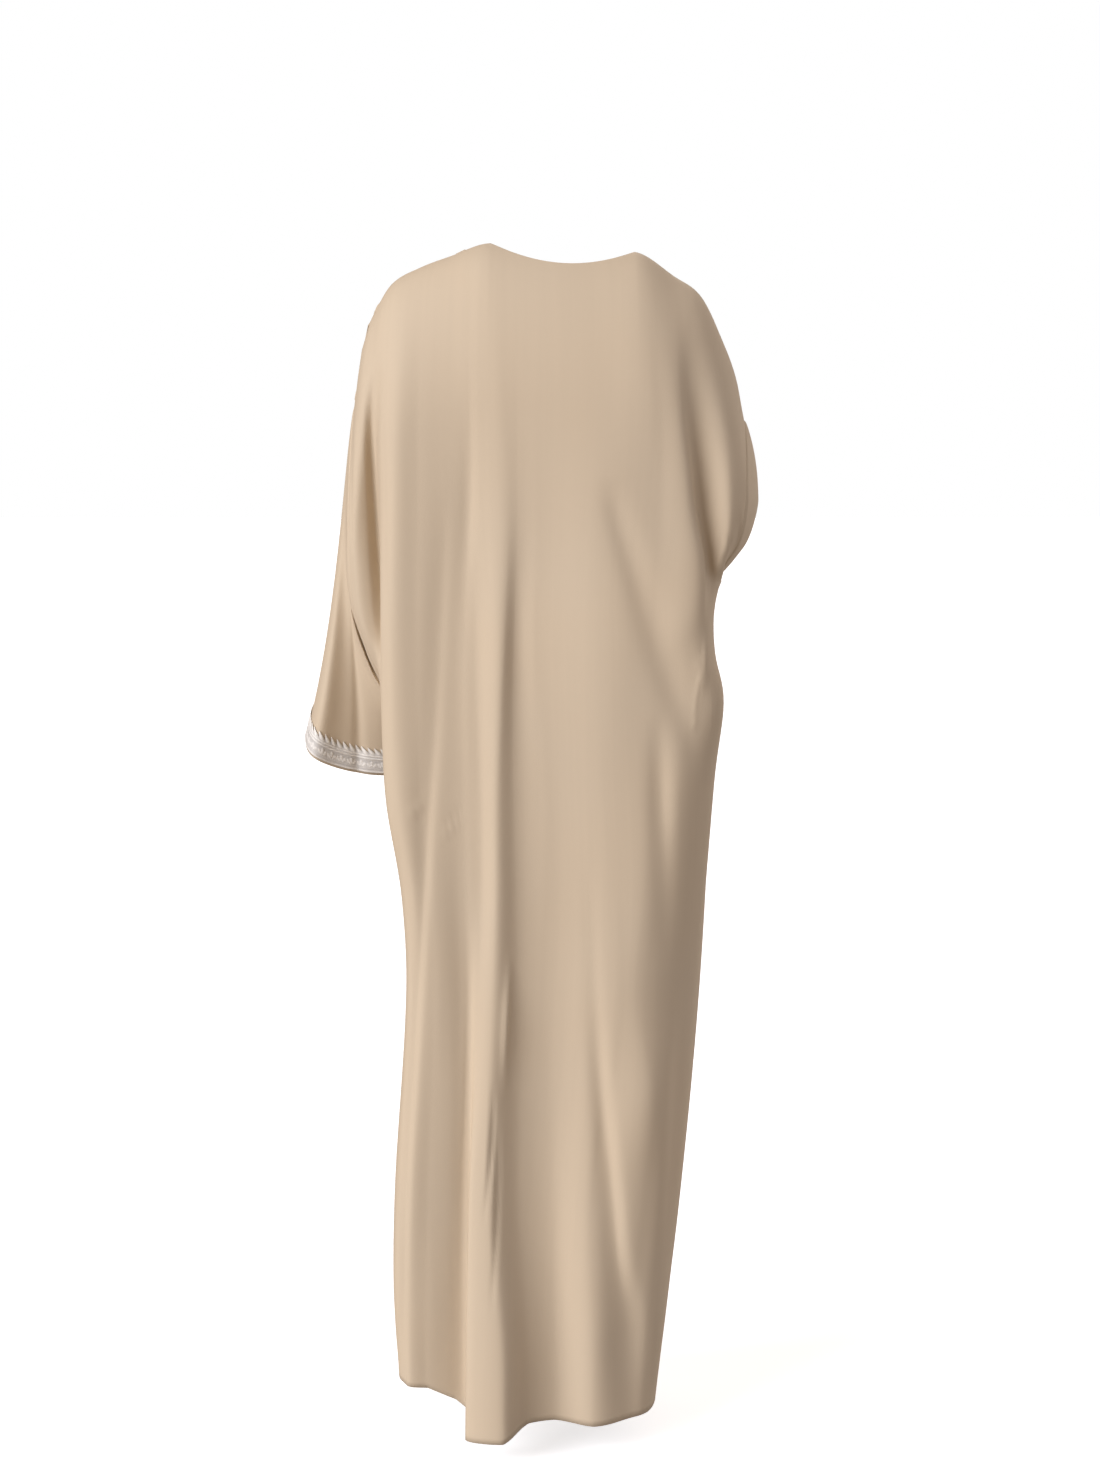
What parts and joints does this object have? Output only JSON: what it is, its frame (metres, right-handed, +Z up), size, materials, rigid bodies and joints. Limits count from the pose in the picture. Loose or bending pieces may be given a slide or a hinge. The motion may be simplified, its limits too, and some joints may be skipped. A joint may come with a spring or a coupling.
{
  "type": "kaftan",
  "caption": "Ankle-length open kaftan in plain beige crepe, worn walking: wide batwing back, dropped armholes, long sleeves and lace-edged cuffs.",
  "frame": {"origin": "midway between the neck points of the two shoulder seams, at the height of the shoulders", "axes": "+Z up along the wearer's height, -Y towards the wearer's front, +X towards the wearer's left"},
  "size_m": [0.5421, 0.4009, 1.41],
  "materials": {
    "crepe": "matte",
    "lace": "matte"
  },
  "bodies": {
    "root": {"back": "crepe", "front_left": "crepe", "front_right": "crepe", "sleeve_left": "crepe", "sleeve_right": "crepe", "lace_left": "lace", "lace_right": "lace"}
  },
  "joints": []
}
